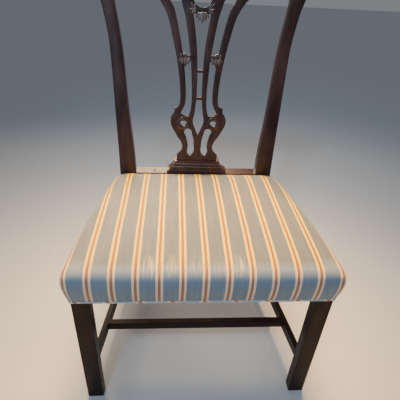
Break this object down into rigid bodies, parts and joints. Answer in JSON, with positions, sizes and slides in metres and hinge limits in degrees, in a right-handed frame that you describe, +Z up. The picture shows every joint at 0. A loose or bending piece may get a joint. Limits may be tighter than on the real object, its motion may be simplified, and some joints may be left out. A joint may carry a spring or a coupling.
{
  "type": "side chair",
  "caption": "Carved dark-wood side chair with a raked back, a pierced vase splat, square stretchered legs and a striped stuff-over seat with piping.",
  "frame": {"origin": "on the floor, under the middle of the overall width and depth", "axes": "+Z up, -Y the way a sitter faces, +X to the right as seen from the front"},
  "size_m": [0.5832, 0.5449, 0.9508],
  "materials": {
    "mahogany": "dark red-brown, satin polish",
    "frame_beech": "planed, unpolished",
    "striped_satin": "slate-blue satin with cream and rust stripes, fine ribs",
    "piping_satin": "the seat's striped satin, cut on the bias",
    "jute_webbing": "woven jute",
    "hessian_cloth": "open plain weave",
    "curled_hair": "loose curled hair",
    "dust_cloth": "thin black cotton",
    "screw_steel": "plain steel",
    "tack_iron": "blued"
  },
  "bodies": {
    "root": {"front_leg_left": "mahogany", "front_leg_right": "mahogany", "rear_post_left": "mahogany", "rear_post_right": "mahogany", "crest_rail": "mahogany", "splat": "mahogany", "splat_shoe": "mahogany", "rear_seat_rail": "mahogany", "side_stretcher_left": "mahogany", "side_stretcher_right": "mahogany", "cross_stretcher": "mahogany", "rear_stretcher": "mahogany", "rail_pegs": "mahogany", "stretcher_pegs": "mahogany", "front_seat_rail": "frame_beech", "side_seat_rail_left": "frame_beech", "side_seat_rail_right": "frame_beech", "front_corner_block_left": "frame_beech", "front_corner_block_right": "frame_beech", "rear_corner_block_left": "frame_beech", "rear_corner_block_right": "frame_beech", "webbing_length_1": "jute_webbing", "webbing_length_2": "jute_webbing", "webbing_length_3": "jute_webbing", "webbing_length_4": "jute_webbing", "webbing_cross_1": "jute_webbing", "webbing_cross_2": "jute_webbing", "webbing_cross_3": "jute_webbing", "webbing_cross_4": "jute_webbing", "hessian": "hessian_cloth", "hair_stuffing": "curled_hair", "seat_cover": "striped_satin", "piping": "piping_satin", "dust_cover": "dust_cloth", "corner_block_screws": "screw_steel", "webbing_tacks": "tack_iron", "dust_cover_tacks": "tack_iron"}
  },
  "joints": []
}
